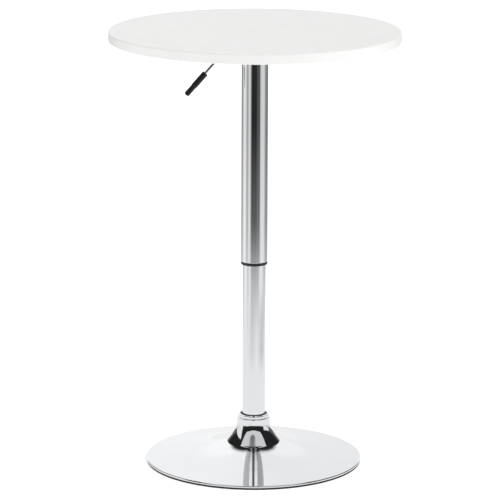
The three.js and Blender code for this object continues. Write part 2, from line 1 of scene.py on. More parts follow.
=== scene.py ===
"""The looks of the bistro table: fine chrome, lacquer, plastic and steel pieces round the CAD frame.

Metres, in the CAD frame: +Z up, the column on the Z axis, the camera on the -Y side and the
release lever on the -X side.
"""

import json
import math

import bmesh
import bpy
from mathutils import Matrix, Vector


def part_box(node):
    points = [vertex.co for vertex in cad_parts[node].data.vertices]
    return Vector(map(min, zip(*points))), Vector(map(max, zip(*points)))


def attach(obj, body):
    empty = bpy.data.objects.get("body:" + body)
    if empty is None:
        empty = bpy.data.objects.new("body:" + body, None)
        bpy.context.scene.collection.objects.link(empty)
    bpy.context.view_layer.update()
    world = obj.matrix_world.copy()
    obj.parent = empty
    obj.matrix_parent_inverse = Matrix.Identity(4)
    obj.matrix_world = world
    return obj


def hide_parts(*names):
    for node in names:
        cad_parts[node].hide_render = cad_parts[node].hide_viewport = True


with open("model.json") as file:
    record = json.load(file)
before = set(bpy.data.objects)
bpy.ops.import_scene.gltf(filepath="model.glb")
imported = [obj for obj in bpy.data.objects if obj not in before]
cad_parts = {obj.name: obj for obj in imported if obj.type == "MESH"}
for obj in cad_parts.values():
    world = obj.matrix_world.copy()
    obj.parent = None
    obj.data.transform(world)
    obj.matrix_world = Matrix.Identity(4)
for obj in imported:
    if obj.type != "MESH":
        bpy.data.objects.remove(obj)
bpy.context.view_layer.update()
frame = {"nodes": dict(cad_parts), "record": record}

MM = 0.001
FINE_FACETS = 256  # round the top and the base
TUBE_FACETS = 128
SMALL_FACETS = 64
ON_AXIS = 1e-9  # a radius below this is a point on the axis
NEARLY_STRAIGHT = math.radians(170)
CORNER_SHARE = 0.45  # of a side, the most that a rounded corner takes


# ---------------------------------------------------------------- mesh helpers


def mesh_object(name, vertices, faces, sharp_angle=35.0):
    """A smooth-shaded object with its normals facing out and its hard edges kept sharp."""
    mesh = bpy.data.meshes.new(name)
    mesh.from_pydata([tuple(v) for v in vertices], [], faces)
    work = bmesh.new()
    work.from_mesh(mesh)
    bmesh.ops.recalc_face_normals(work, faces=work.faces[:])
    work.to_mesh(mesh)
    work.free()
    shade(mesh, sharp_angle)
    obj = bpy.data.objects.new(name, mesh)
    bpy.context.scene.collection.objects.link(obj)
    return obj


def shade(mesh, sharp_angle=35.0):
    for polygon in mesh.polygons:
        polygon.use_smooth = True
    mesh.set_sharp_from_angle(angle=math.radians(sharp_angle))


def rounded(outline, radius, steps=4):
    """The closed outline with each corner turned into an arc, and corners on the axis left alone."""
    result = []
    count = len(outline)
    for i, (x, y) in enumerate(outline):
        before = Vector(outline[i - 1]) - Vector((x, y))
        after = Vector(outline[(i + 1) % count]) - Vector((x, y))
        corner = before.angle(after) if before.length and after.length else math.pi
        if x < ON_AXIS or corner > NEARLY_STRAIGHT:
            result.append((x, y))
            continue
        longest = min(before.length, after.length) * CORNER_SHARE
        reach = min(radius / math.tan(corner / 2), longest)
        start = Vector((x, y)) + before.normalized() * reach
        end = Vector((x, y)) + after.normalized() * reach
        for step in range(steps + 1):
            t = step / steps
            p = start * (1 - t) ** 2 + Vector((x, y)) * 2 * t * (1 - t) + end * t**2
            result.append((p.x, p.y))
    return result


def guarded(outline, guard=0.6 * MM):
    """The closed outline with a point near each end of its long sides, which keeps their shading flat."""
    result = []
    for i, here in enumerate(outline):
        result.append(here)
        start, end = Vector(here), Vector(outline[(i + 1) % len(outline)])
        length = (end - start).length
        if length > 4 * guard:
            result += [tuple(start.lerp(end, guard / length)), tuple(end.lerp(start, guard / length))]
    return result


def turned(name, outline, facets):
    """The closed outline of (radius, height) points turned round the Z axis."""
    vertices, rings = [], []
    for radius, height in guarded(outline):
        if radius < ON_AXIS:
            rings.append([len(vertices)] * facets)
            vertices.append((0, 0, height))
            continue
        rings.append(list(range(len(vertices), len(vertices) + facets)))
        for k in range(facets):
            angle = 2 * math.pi * k / facets
            vertices.append((radius * math.cos(angle), radius * math.sin(angle), height))
    faces = []
    for i, ring in enumerate(rings):
        following = rings[(i + 1) % len(rings)]
        for k in range(facets):
            n = (k + 1) % facets
            corners = [ring[k], ring[n], following[n], following[k]]
            face = list(dict.fromkeys(corners))
            if len(face) >= 3:
                faces.append(face)
    return mesh_object(name, vertices, faces)


def tube(name, inner, outer, bottom, top, facets, edge):
    """A straight round tube with rounded rims."""
    outline = [(inner, bottom), (outer, bottom), (outer, top), (inner, top)]
    return turned(name, rounded(outline, edge), facets)


def bezier(points, steps):
    """Points along a Bezier curve of any degree, the first left out."""
    found = []
    for step in range(1, steps + 1):
        t = step / steps
        run = [Vector(p) for p in points]
        while len(run) > 1:
            run = [a.lerp(b, t) for a, b in zip(run, run[1:])]
        found.append(tuple(run[0]))
    return found


def ring_faces(rings, facets):
    """Quads between neighbouring rings of points."""
    faces = []
    for ring in range(rings - 1):
        row, up = ring * facets, (ring + 1) * facets
        for k in range(facets):
            n = (k + 1) % facets
            faces.append([row + k, row + n, up + n, up + k])
    return faces


DOME = [(0.35, 0.94), (0.75, 0.66), (1.0, 0.0)]  # shares of a rod's radius, and of its dome's height
DOME_HEIGHT = 0.4
END_SHARE = 0.02  # of the end stretches, up to the first full section


def swept(name, route, radius, facets=24):
    """A round rod along a route of points that lies in the plane y = 0, with domed ends."""
    vertices = []
    across = Vector((0, 1, 0))
    path = [Vector(p) for p in route]
    dome = radius * DOME_HEIGHT
    sections = []
    for share, back in DOME:
        sections.append((path[0], path[1] - path[0], radius * share, dome * (1 - back)))
    sections.append((path[0].lerp(path[1], END_SHARE), path[1] - path[0], radius, dome))
    for i in range(1, len(path) - 1):
        sections.append((path[i], path[i + 1] - path[i - 1], radius, 0.0))
    sections.append((path[-1].lerp(path[-2], END_SHARE), path[-1] - path[-2], radius, -dome))
    for share, back in reversed(DOME):
        sections.append((path[-1], path[-1] - path[-2], radius * share, -dome * (1 - back)))
    for place, along, size, shift in sections:
        forward = along.normalized()
        side = across.cross(forward)
        centre = place + forward * shift
        for k in range(facets):
            angle = 2 * math.pi * k / facets
            vertices.append(centre + (across * math.cos(angle) + side * math.sin(angle)) * size)
    faces = ring_faces(len(sections), facets)
    faces.append(list(range(facets)))
    faces.append(list(range((len(sections) - 1) * facets, len(sections) * facets)))
    return mesh_object(name, vertices, faces)


def cut_away(obj, *tools):
    """Cuts closed tool objects out of obj and removes them."""
    for tool in tools:
        modifier = obj.modifiers.new("cut", "BOOLEAN")
        modifier.object = tool
        modifier.operation = "DIFFERENCE"
        modifier.solver = "EXACT"
        graph = bpy.context.evaluated_depsgraph_get()
        mesh = bpy.data.meshes.new_from_object(obj.evaluated_get(graph))
        obj.modifiers.clear()
        old = obj.data
        obj.data = mesh
        bpy.data.meshes.remove(old)
        bpy.data.objects.remove(tool)
    obj.data.name = obj.name
    shade(obj.data)
    return obj


def bar(name, start, end, radius, facets=SMALL_FACETS):
    """A plain round bar between two points, used for cutting."""
    axis = Vector(end) - Vector(start)
    outline = [(0, 0), (radius, 0), (radius, axis.length), (0, axis.length)]
    obj = turned(name, outline, facets)
    turn = Vector((0, 0, 1)).rotation_difference(axis).to_matrix().to_4x4()
    obj.data.transform(Matrix.Translation(Vector(start)) @ turn)
    return obj


def placed(obj, body, slot, material, *nodes):
    """obj gets its material, rides a body and stands for CAD nodes; slot is not used."""
    obj.data.materials.clear()
    obj.data.materials.append(material)
    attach(obj, body)
    if nodes:
        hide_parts(*nodes)
    return obj


# ---------------------------------------------------------------- material helpers


class Graph:
    """A tree of shader nodes, and short ways to add to it."""

    def __init__(self, tree):
        self.tree = tree

    def add(self, kind, **settings):
        node = self.tree.nodes.new(kind)
        for key, value in settings.items():
            setattr(node, key, value)
        return node

    def join(self, source, target):
        self.tree.links.new(source, target)

    def maths(self, operation, *values):
        node = self.add("ShaderNodeMath", operation=operation)
        for i, value in enumerate(values):
            if isinstance(value, (int, float)):
                node.inputs[i].default_value = value
            else:
                self.join(value, node.inputs[i])
        return node.outputs[0]

    def chained(self, operation, values):
        found = values[0]
        for value in values[1:]:
            found = self.maths(operation, found, value)
        return found

    def total(self, *values):
        return self.chained("ADD", values)

    def product(self, *values):
        return self.chained("MULTIPLY", values)

    def most(self, *values):
        return self.chained("MAXIMUM", values)

    def rest_of(self, share):
        """1 less the share."""
        return self.maths("SUBTRACT", 1.0, share)

    def ranged(self, value, low, high, to_low=0.0, to_high=1.0, smooth=False):
        """value from low to high mapped to to_low to to_high, and held outside."""
        node = self.add("ShaderNodeMapRange")
        node.interpolation_type = "SMOOTHSTEP" if smooth else "LINEAR"
        for key, number in zip(("From Min", "From Max", "To Min", "To Max"), (low, high, to_low, to_high)):
            node.inputs[key].default_value = number
        self.join(value, node.inputs["Value"])
        return node.outputs["Result"]

    def by_angle(self, angle, table):
        """A value that runs straight from each (degrees, value) of the table to the next."""
        share = self.ranged(angle, -math.pi, math.pi)
        found = table[0][1]
        for (start, low), (end, high) in zip(table, table[1:]):
            step = self.ranged(share, (start + 180) / 360, (end + 180) / 360, 0.0, high - low)
            found = self.maths("ADD", step, found)
        return found


class Finish(Graph):
    """A material under construction: a Principled shader and the nodes that feed it."""

    def __init__(self, name, metallic=0.0, specular=0.5, coat=0.0, coat_roughness=0.1, anisotropy=0.0):
        self.material = bpy.data.materials.new(name)
        self.material.use_nodes = True
        super().__init__(self.material.node_tree)
        self.shader = self.tree.nodes["Principled BSDF"]
        self.shader.inputs["Metallic"].default_value = metallic
        self.shader.inputs["Specular IOR Level"].default_value = specular
        self.shader.inputs["Coat Weight"].default_value = coat
        self.shader.inputs["Coat Roughness"].default_value = coat_roughness
        self.shader.inputs["Anisotropic"].default_value = anisotropy
        self.place = self.add("ShaderNodeTexCoord").outputs["Object"]
        self.height = None

    def stretched(self, x, y, z):
        """Object coordinates scaled by x, y and z."""
        mapping = self.add("ShaderNodeMapping")
        mapping.inputs["Scale"].default_value = (x, y, z)
        self.join(self.place, mapping.inputs["Vector"])
        return mapping.outputs["Vector"]

    def noise(self, scale, detail=3.0, roughness=0.5, place=None, distortion=0.0):
        """Noise from 0 to 1, with scale in features a metre."""
        node = self.add("ShaderNodeTexNoise")
        node.inputs["Scale"].default_value = scale
        node.inputs["Detail"].default_value = detail
        node.inputs["Roughness"].default_value = roughness
        node.inputs["Distortion"].default_value = distortion
        self.join(place or self.place, node.inputs["Vector"])
        return node.outputs["Fac"]

    def blended(self, share, first, second):
        """A colour that goes from first to second as share goes from 0 to 1."""
        node = self.add("ShaderNodeMix", data_type="RGBA")
        self.join(share, node.inputs["Factor"])
        for socket, colour in ((node.inputs["A"], first), (node.inputs["B"], second)):
            if isinstance(colour, tuple):
                socket.default_value = (*colour, 1.0)
            else:
                self.join(colour, socket)
        return node.outputs["Result"]

    def from_axis(self):
        """Distance from the Z axis."""
        parts = self.add("ShaderNodeSeparateXYZ")
        self.join(self.place, parts.inputs[0])
        squares = [self.maths("MULTIPLY", parts.outputs[i], parts.outputs[i]) for i in (0, 1)]
        return self.maths("SQRT", self.maths("ADD", *squares))

    def ring_place(self):
        """Coordinates that vary with the distance from the Z axis only."""
        joined = self.add("ShaderNodeCombineXYZ")
        self.join(self.from_axis(), joined.inputs[0])
        return joined.outputs[0]

    def facing_down(self):
        """1 where the surface faces straight down, and 0 elsewhere."""
        parts = self.add("ShaderNodeSeparateXYZ")
        self.join(self.add("ShaderNodeNewGeometry").outputs["True Normal"], parts.inputs[0])
        return self.ranged(parts.outputs[2], -0.985, -0.995)

    def edges(self, low=0.53, high=0.62):
        """1 on outer edges and 0 on flat stretches."""
        return self.ranged(self.add("ShaderNodeNewGeometry").outputs["Pointiness"], low, high)

    def bump(self, height, distance, strength=1.0):
        """Adds a layer of relief, distance metres high."""
        node = self.add("ShaderNodeBump")
        node.inputs["Strength"].default_value = strength
        node.inputs["Distance"].default_value = distance
        self.join(height, node.inputs["Height"])
        if self.height is not None:
            self.join(self.height, node.inputs["Normal"])
        self.height = node.outputs["Normal"]

    def done(self, colour, roughness):
        self.join(colour, self.shader.inputs["Base Color"])
        self.join(roughness, self.shader.inputs["Roughness"])
        if self.height is not None:
            self.join(self.height, self.shader.inputs["Normal"])
        return self.material


# ---------------------------------------------------------------- materials


def chrome(name, drawn=None):
    """Polished chrome: faint smudges, and the faint marks of a spun or a drawn piece under them."""
    finish = Finish(name, metallic=1.0)
    cloud = finish.noise(9.0, detail=4.0)
    colour = finish.blended(cloud, (0.82, 0.83, 0.85), (0.87, 0.875, 0.885))
    colour = finish.blended(finish.edges(), colour, (0.9, 0.9, 0.905))
    blotches = finish.noise(26.0, detail=6.0, roughness=0.62)
    smudge = finish.ranged(blotches, 0.46, 0.72, 0.0, 0.035, smooth=True)
    grime = finish.ranged(finish.noise(420.0, detail=2.0), 0.6, 0.8, 0.0, 0.02)
    roughness = finish.maths("ADD", finish.maths("ADD", smudge, grime), 0.025)
    if drawn == "spun":
        rings = finish.noise(900.0, detail=2.0, place=finish.ring_place())
        finish.bump(rings, 0.0000012)
    elif drawn == "drawn":
        lines = finish.noise(700.0, detail=2.0, place=finish.stretched(1.0, 1.0, 0.01))
        finish.bump(lines, 0.0000008)
    finish.bump(finish.noise(14.0, detail=1.0), 0.00004)
    return finish.done(colour, roughness)


def lacquer():
    """White satin lacquer on board, with slightly rubbed edges, and the faces that point down painted
    near-black: painted shade for the shadow under the board.
    """
    finish = Finish("white_lacquer", specular=0.45, coat=0.15, coat_roughness=0.18)
    cloud = finish.noise(5.0, detail=5.0, roughness=0.6)
    colour = finish.blended(cloud, (0.775, 0.775, 0.765), (0.805, 0.805, 0.8))
    rubbed = finish.maths("MULTIPLY", finish.edges(0.51, 0.56), finish.noise(60.0, detail=4.0))
    colour = finish.blended(rubbed, colour, (0.84, 0.84, 0.835))
    speck = finish.ranged(finish.noise(1500.0, detail=1.0), 0.74, 0.8)
    colour = finish.blended(finish.maths("MULTIPLY", speck, 0.25), colour, (0.6, 0.6, 0.59))
    # painted shade: faces pointing down are painted near-black, standing in for the shadow under the board
    underside_painted_shade = finish.blended(finish.noise(180.0, detail=5.0), (0.018, 0.018, 0.019), (0.034, 0.034, 0.036))
    colour = finish.blended(finish.facing_down(), colour, underside_painted_shade)
    roughness = finish.ranged(finish.noise(40.0, detail=5.0), 0.35, 0.65, 0.3, 0.4)
    finish.bump(finish.noise(420.0, detail=2.0), 0.00002, strength=0.6)
    return finish.done(colour, roughness)


def moulded(name, dark, light, rough=(0.38, 0.55), grain=1800.0, relief=0.00003):
    """Moulded black plastic or rubber with a fine grain, paler where edges are worn."""
    finish = Finish(name, specular=0.42)
    colour = finish.blended(finish.noise(35.0, detail=4.0), dark, light)
    worn = finish.maths("MULTIPLY", finish.edges(), finish.noise(160.0, detail=3.0))
    colour = finish.blended(worn, colour, tuple(min(1.0, c * 3.2 + 0.01) for c in light))
    roughness = finish.ranged(finish.noise(90.0, detail=4.0), 0.3, 0.7, *rough)
    finish.bump(finish.noise(grain, detail=2.0), relief, strength=0.5)
    return finish.done(colour, roughness)


def powder_coat():
    """Black powder coat: orange peel, and bare steel showing on the sharpest edges."""
    finish = Finish("black_powder_coat", specular=0.45)
    colour = finish.blended(finish.noise(24.0, detail=4.0), (0.022, 0.022, 0.024), (0.036, 0.036, 0.039))
    chipped = finish.ranged(finish.noise(240.0, detail=4.0), 0.52, 0.62)
    worn = finish.maths("MULTIPLY", finish.edges(0.56, 0.66), chipped)
    colour = finish.blended(worn, colour, (0.16, 0.16, 0.165))
    roughness = finish.ranged(finish.noise(60.0, detail=3.0), 0.3, 0.7, 0.36, 0.52)
    finish.bump(finish.noise(900.0, detail=2.0), 0.00006, strength=0.7)
    return finish.done(colour, roughness)


def plain_metal(name, dark, light, rough, grain=(1.0, 1.0, 1.0), relief=0.00001):
    """Machined or plated metal with a directional grain."""
    finish = Finish(name, metallic=1.0, anisotropy=0.3)
    streaks = finish.noise(380.0, detail=3.0, place=finish.stretched(*grain))
    colour = finish.blended(streaks, dark, light)
    dull = finish.ranged(finish.noise(70.0, detail=4.0), 0.5, 0.8)
    colour = finish.blended(finish.maths("MULTIPLY", dull, 0.4), colour, tuple(c * 0.6 for c in dark))
    roughness = finish.ranged(streaks, 0.3, 0.7, *rough)
    finish.bump(streaks, relief)
    return finish.done(colour, roughness)


CHROME_SPUN = chrome("spun_chrome", drawn="spun")
CHROME_TUBE = chrome("tube_chrome", drawn="drawn")
LACQUER = lacquer()
PLASTIC = moulded("black_plastic", (0.012, 0.012, 0.013), (0.022, 0.022, 0.024))
GRIP = moulded("grip_plastic", (0.010, 0.010, 0.011), (0.019, 0.019, 0.021), rough=(0.3, 0.45))
RUBBER = moulded("black_rubber", (0.010, 0.010, 0.010), (0.018, 0.018, 0.018), rough=(0.6, 0.8), grain=900.0)
POWDER = powder_coat()
ZINC = plain_metal("zinc_plate", (0.5, 0.51, 0.53), (0.66, 0.67, 0.69), (0.22, 0.38))
DRAWN = (1.0, 1.0, 0.1)
STEEL = plain_metal("ground_steel", (0.4, 0.41, 0.43), (0.55, 0.56, 0.58), (0.2, 0.36), grain=DRAWN)
BRASS = plain_metal("turned_brass", (0.55, 0.38, 0.13), (0.78, 0.57, 0.24), (0.22, 0.36))

SLOT_FINISH = {
    "top_lacquer": LACQUER,
    "chrome": CHROME_TUBE,
    "black_plastic": PLASTIC,
    "grip_plastic": GRIP,
    "rubber": RUBBER,
    "black_steel": POWDER,
    "zinc_steel": ZINC,
    "bare_steel": STEEL,
    "brass": BRASS,
}


# ---------------------------------------------------------------- CAD nodes that stay


def refine_cad_nodes():
    """Gives every CAD node the finish of its slot, and its hard edges a small bevel."""
    for row in frame["record"]["subparts"]:
        node = frame["nodes"][row["node"]]
        node.data.materials.clear()
        node.data.materials.append(SLOT_FINISH[row["material_slot"]])
        weld = node.modifiers.new("weld", "WELD")
        weld.merge_threshold = 0.01 * MM
        bevel = node.modifiers.new("edges", "BEVEL")
        bevel.width = 0.25 * MM
        bevel.segments = 2
        bevel.angle_limit = math.radians(40)


# ---------------------------------------------------------------- base


SHELL_WALL = 1.5 * MM
COLUMN_WALL = 1.5 * MM
SLEEVE_WALL = 1.2 * MM

# Outlines in millimetres, as (radius, height). A leg is an end point, and before it the control
# points of its curve.
TRUMPET_START = (34.4, 92)
TRUMPET_LEGS = [
    [(34.5, 84)],
    [(34.8, 77.4), (37.2, 70.2)],
    [(40.4, 60.6), (48.8, 51.6), (55.6, 43.2)],
    [(56.7, 41.8), (60.5, 40.2)],
    [(104.5, 21.5), (162.5, 14), (222.5, 8.2)],
    [(224.9, 7.9), (225, 5.8)],
    [(225, 4.3)],
]
LIP_START = (28, 100)
LIP_LEGS = [
    [(28.1, 99.97), (30.95, 99.05)],
    [(31.4, 98.9), (31.5, 98.4)],
    [(31.55, 94.1)],
    [(31.6, 93.65), (31.95, 93.5)],
    [(33.9, 92.85)],
    [(34.35, 92.7), (34.4, 92.2)],
]
LIP_INSIDE = [(32.8, 91.3), (30.3, 92.2), (30, 92.6), (30, 97.2), (29.6, 97.8), (28, 98.5)]


def follow(start, legs, steps):
    """Points in metres along the legs from start, with steps points on a leg of each length."""
    outline = [(start[0] * MM, start[1] * MM)]
    for leg in legs:
        points = [outline[-1]] + [(x * MM, z * MM) for x, z in leg]
        outline += bezier(points, steps[len(leg)])
    return outline


def shell_outline():
    """The closed outline of the base shell's sheet: lip, trumpet and rim, and back inside."""
    lip = follow(LIP_START, LIP_LEGS, {1: 3, 2: 6})
    outer = follow(TRUMPET_START, TRUMPET_LEGS, {1: 4, 2: 10, 3: 36})
    last = len(outer) - 1
    inner = []
    for i, p in enumerate(outer):
        along = (Vector(outer[min(i + 1, last)]) - Vector(outer[max(i - 1, 0)])).normalized()
        inner.append((p[0] + along.y * SHELL_WALL, max(p[1] - along.x * SHELL_WALL, outer[-1][1])))
    return lip + outer + inner[:0:-1] + [(x * MM, z * MM) for x, z in LIP_INSIDE]


def build_shell():
    shell = turned("base_shell_fine", shell_outline(), FINE_FACETS)
    placed(shell, "base", "chrome", CHROME_SPUN, "base_shell")


RING_INNER = 176 * MM
GROOVE_COUNT = 4
GROOVE_START = 9  # millimetres from the ring's inner edge
GROOVE_PITCH = 10
GROOVE_DEPTH = 0.8 * MM
GROOVE_SHAPE = [(0, 0), (1, GROOVE_DEPTH), (3, GROOVE_DEPTH), (4, 0)]


def build_floor_ring():
    """The rubber ring under the rim, with grooves in its underside."""
    low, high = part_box("floor_ring")
    grooves = []
    for k in range(GROOVE_COUNT):
        start = RING_INNER + (GROOVE_START + GROOVE_PITCH * k) * MM
        grooves += [(start + along * MM, height) for along, height in GROOVE_SHAPE]
    outline = [(RING_INNER, low.z), *grooves, (high.x, low.z), (high.x, high.z), (RING_INNER, high.z)]
    ring = turned("floor_ring_fine", rounded(outline, 0.5 * MM, steps=3), FINE_FACETS)
    placed(ring, "base", "rubber", RUBBER, "floor_ring")


def build_plate_and_column():
    low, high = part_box("base_plate")
    bore = 15 * MM
    plate = tube("base_plate_fine", bore, high.x, low.z, high.z, FINE_FACETS, 0.5 * MM)
    placed(plate, "base", "black_steel", POWDER, "base_plate")

    low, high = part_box("column_tube")
    column = tube("column_tube_fine", high.x - COLUMN_WALL, high.x, low.z, high.z, TUBE_FACETS, 0.4 * MM)
    placed(column, "base", "chrome", CHROME_TUBE, "column_tube")


def build_neck_bush():
    low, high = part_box("neck_bush")
    inner, standing, lip = 24.3 * MM, 27.4 * MM, 96 * MM
    outline = [
        (inner, low.z),
        (high.x, low.z),
        (high.x, lip),
        (standing, lip),
        (standing, high.z),
        (inner, high.z),
    ]
    bush = turned("neck_bush_fine", rounded(outline, 0.3 * MM), TUBE_FACETS)
    placed(bush, "base", "black_plastic", PLASTIC, "neck_bush")


# ---------------------------------------------------------------- cover sleeve


def build_sleeve():
    low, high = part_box("cover_sleeve")
    sleeve = tube("cover_sleeve_fine", high.x - SLEEVE_WALL, high.x, low.z, high.z, TUBE_FACETS, 0.4 * MM)
    placed(sleeve, "lift", "chrome", CHROME_TUBE, "cover_sleeve")

    low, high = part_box("sleeve_end_ring")
    inner, skirt, shoulder, chamfer = 24.5 * MM, 26.0 * MM, 427 * MM, 0.8 * MM
    outline = [
        (inner, low.z),
        (high.x - chamfer, low.z),
        (high.x, low.z + chamfer),
        (high.x, shoulder),
        (skirt, shoulder),
        (skirt, high.z),
        (inner, high.z),
    ]
    ring = turned("sleeve_end_ring_fine", rounded(outline, 0.35 * MM), TUBE_FACETS)
    placed(ring, "lift", "black_plastic", PLASTIC, "sleeve_end_ring")

    low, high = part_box("sleeve_top_bush")
    inner, shoulder = 21.3 * MM, 862.3 * MM
    outline = [
        (inner, low.z),
        (skirt, low.z),
        (skirt, shoulder),
        (high.x, shoulder),
        (high.x, high.z),
        (inner, high.z),
    ]
    bush = turned("sleeve_top_bush_fine", rounded(outline, 0.35 * MM), TUBE_FACETS)
    placed(bush, "lift", "black_plastic", PLASTIC, "sleeve_top_bush")


# ---------------------------------------------------------------- table top


RING_SPACING = 33 * MM  # between the rings of points on the board's faces
INSERT_HOLE_TOP = 905 * MM
INSERT_HOLE_RADIUS = 5 * MM


def build_top():
    low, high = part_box("table_top")
    radius, rounding = high.x, 3 * MM
    stations = [RING_SPACING * k for k in range(9)]
    outline = [(r, low.z) for r in stations]
    outline += [(radius - rounding, low.z)]
    outline += bezier([outline[-1], (radius, low.z), (radius, low.z + rounding)], 10)
    outline += [(radius, high.z - rounding)]
    outline += bezier([outline[-1], (radius, high.z), (radius - rounding, high.z)], 10)
    outline += [(r, high.z) for r in reversed(stations)]
    board = turned("table_top_fine", outline, FINE_FACETS)
    holes = []
    for i in range(1, 5):
        lowest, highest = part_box(f"top_insert_{i}")
        centre = (lowest + highest) / 2
        start = Vector((centre.x, centre.y, low.z - MM))
        end = Vector((centre.x, centre.y, INSERT_HOLE_TOP))
        holes.append(bar("hole", start, end, INSERT_HOLE_RADIUS, 48))
    cut_away(board, *holes)
    placed(board, "lift", "top_lacquer", LACQUER, "table_top")


# ---------------------------------------------------------------- release lever

LEVER_BEND = Vector((-55.4, 0, 874)) * MM
DROP = math.radians(49)
DOWN_SLOPE = Vector((-math.cos(DROP), 0, -math.sin(DROP)))
GRIP_START = LEVER_BEND + DOWN_SLOPE * 70.2 * MM
GRIP_LENGTH = 60 * MM
ROD_IN_GRIP = GRIP_LENGTH * 0.75
ROD_RADIUS = 3 * MM
BEND_REACH = 11 * MM
LEVER_PIVOT = Vector((-30, 0, 874)) * MM
PIVOT_HOLE_RADIUS = 1.8 * MM


def build_lever_rod():
    inner_end = Vector((4, 0, 874)) * MM
    bend_start = LEVER_BEND + Vector((BEND_REACH, 0, 0))
    bend_end = LEVER_BEND + DOWN_SLOPE * BEND_REACH
    outer_end = GRIP_START + DOWN_SLOPE * ROD_IN_GRIP
    route = [inner_end, inner_end.lerp(bend_start, 0.5), bend_start]
    route += [Vector(p) for p in bezier([bend_start, LEVER_BEND, bend_end], 16)]
    route += [bend_end.lerp(outer_end, t) for t in (0.3, 0.6, 1.0)]
    rod = swept("lever_rod_fine", route, ROD_RADIUS, 48)
    across = Vector((0, 12, 0)) * MM
    cut_away(rod, bar("pivot_hole", LEVER_PIVOT - across, LEVER_PIVOT + across, PIVOT_HOLE_RADIUS, 32))
    placed(rod, "lever", "chrome", CHROME_TUBE, "lever_rod")


def build_lever_grip():
    thick, thin, bore = 6.3 * MM, 5.4 * MM, 3.3 * MM
    edge, waist, end = 2 * MM, GRIP_LENGTH * 0.5, GRIP_LENGTH
    outline = [(bore, 0), (thick - 1.2 * MM, 0)]
    outline += bezier([outline[-1], (thick, 0), (thick, edge)], 6)
    outline += [(thick, waist)]
    outline += bezier([outline[-1], (thick, end * 0.6), (thin, end * 0.6), (thin + 0.1 * MM, end * 0.7)], 14)
    outline += [(thin + 0.3 * MM, end - 4 * MM)]
    outline += bezier([outline[-1], (thin + 0.3 * MM, end), (thick - 4 * MM, end)], 10)
    outline += [(0, end), (0, ROD_IN_GRIP + MM), (bore, ROD_IN_GRIP + MM)]
    grip = turned("lever_grip_fine", outline, SMALL_FACETS)
    turn = Vector((0, 0, 1)).rotation_difference(DOWN_SLOPE).to_matrix().to_4x4()
    grip.data.transform(Matrix.Translation(GRIP_START) @ turn)
    placed(grip, "lever", "grip_plastic", GRIP, "lever_grip")


# ---------------------------------------------------------------- stage


def stage_mesh(name, vertices, faces, material):
    obj = mesh_object(name, vertices, faces)
    obj.data.materials.append(material)
    return obj


# Brightness of the floor far from the table, by the angle from the camera's side, right positive.
FAR_FLOOR = [
    (-180, 1.05),
    (-155, 0.3),
    (-131, 0.3),
    (-112, 0.7),
    (-98, 0.88),
    (-84, 0.86),
    (-72, 0.42),
    (-60, 0.4),
    (-52, 0.7),
    (-40, 0.74),
    (-32, 0.3),
    (-25, 0.024),
    (14, 0.024),
    (22, 0.08),
    (44, 0.1),
    (52, 0.62),
    (66, 0.75),
    (88, 0.72),
    (102, 0.4),
    (112, 0.22),
    (150, 0.24),
    (180, 1.05),
]
NEAR_FLOOR = 0.92
GLOW_STRENGTH = 0.12  # the faint light that carries on past it
GLOW_REACH = (1.6, 4.0)
FADE_REACH = (0.8, 2.45)  # metres from the table, from near brightness to far

# The same a metre from the table, as a share of its brightness close by.
MIDDLE_FLOOR = [
    (-180, 1.0),
    (-60, 0.97),
    (-40, 0.91),
    (-20, 0.82),
    (0, 0.89),
    (30, 1.0),
    (60, 0.82),
    (89, 0.68),
    (110, 0.83),
    (130, 1.0),
    (180, 1.0),
]
MIDDLE_RISE = (0.65, 0.95)
MIDDLE_FALL = (1.2, 1.7)


def floor_light():
    """A material that only shines: white round the table, and further off the parts of a studio."""
    finish = Finish("studio_floor_light")
    parts = finish.add("ShaderNodeSeparateXYZ")
    finish.join(finish.place, parts.inputs[0])
    back = finish.maths("MULTIPLY", parts.outputs[1], -1.0)
    angle = finish.maths("ARCTAN2", parts.outputs[0], back)
    away = finish.from_axis()

    distance = finish.ranged(away, *FADE_REACH, smooth=True)
    near = finish.product(finish.rest_of(distance), NEAR_FLOOR - GLOW_STRENGTH)
    near = finish.total(near, finish.ranged(away, *GLOW_REACH, GLOW_STRENGTH, 0.0, smooth=True))

    rise = finish.ranged(away, *MIDDLE_RISE, smooth=True)
    fall = finish.ranged(away, *MIDDLE_FALL, 1.0, 0.0, smooth=True)
    shade = finish.product(finish.rest_of(finish.by_angle(angle, MIDDLE_FLOOR)), rise, fall)
    near = finish.product(near, finish.rest_of(shade))

    far = finish.product(distance, finish.by_angle(angle, FAR_FLOOR))
    emission = finish.add("ShaderNodeEmission")
    finish.join(finish.total(near, far), emission.inputs["Strength"])
    finish.join(emission.outputs[0], finish.tree.nodes["Material Output"].inputs["Surface"])
    return finish.material


FLOOR_REACH = 30.0
FLOOR_GLOW = 0.45
CARD_RINGS = [0.2, 1.1, 2.6, 6.0, 12.0, FLOOR_REACH]
CARD_FACETS = 72
CARD_HEIGHT = 0.3 * MM


def build_floor():
    """The pale floor that the camera sees."""
    finish = Finish("pale_floor", specular=0.2)
    colour = finish.blended(finish.noise(3.0), (0.8, 0.8, 0.8), (0.82, 0.82, 0.82))
    finish.shader.inputs["Emission Color"].default_value = (1.0, 1.0, 1.0, 1.0)
    finish.shader.inputs["Emission Strength"].default_value = FLOOR_GLOW
    finish.done(colour, finish.ranged(finish.noise(2.0), 0.0, 1.0, 0.6, 0.7))
    corners = [(x * FLOOR_REACH, y * FLOOR_REACH, 0) for x, y in ((-1, -1), (1, -1), (1, 1), (-1, 1))]
    floor = stage_mesh("floor", corners, [(0, 1, 2, 3)], finish.material)
    floor.visible_glossy = False


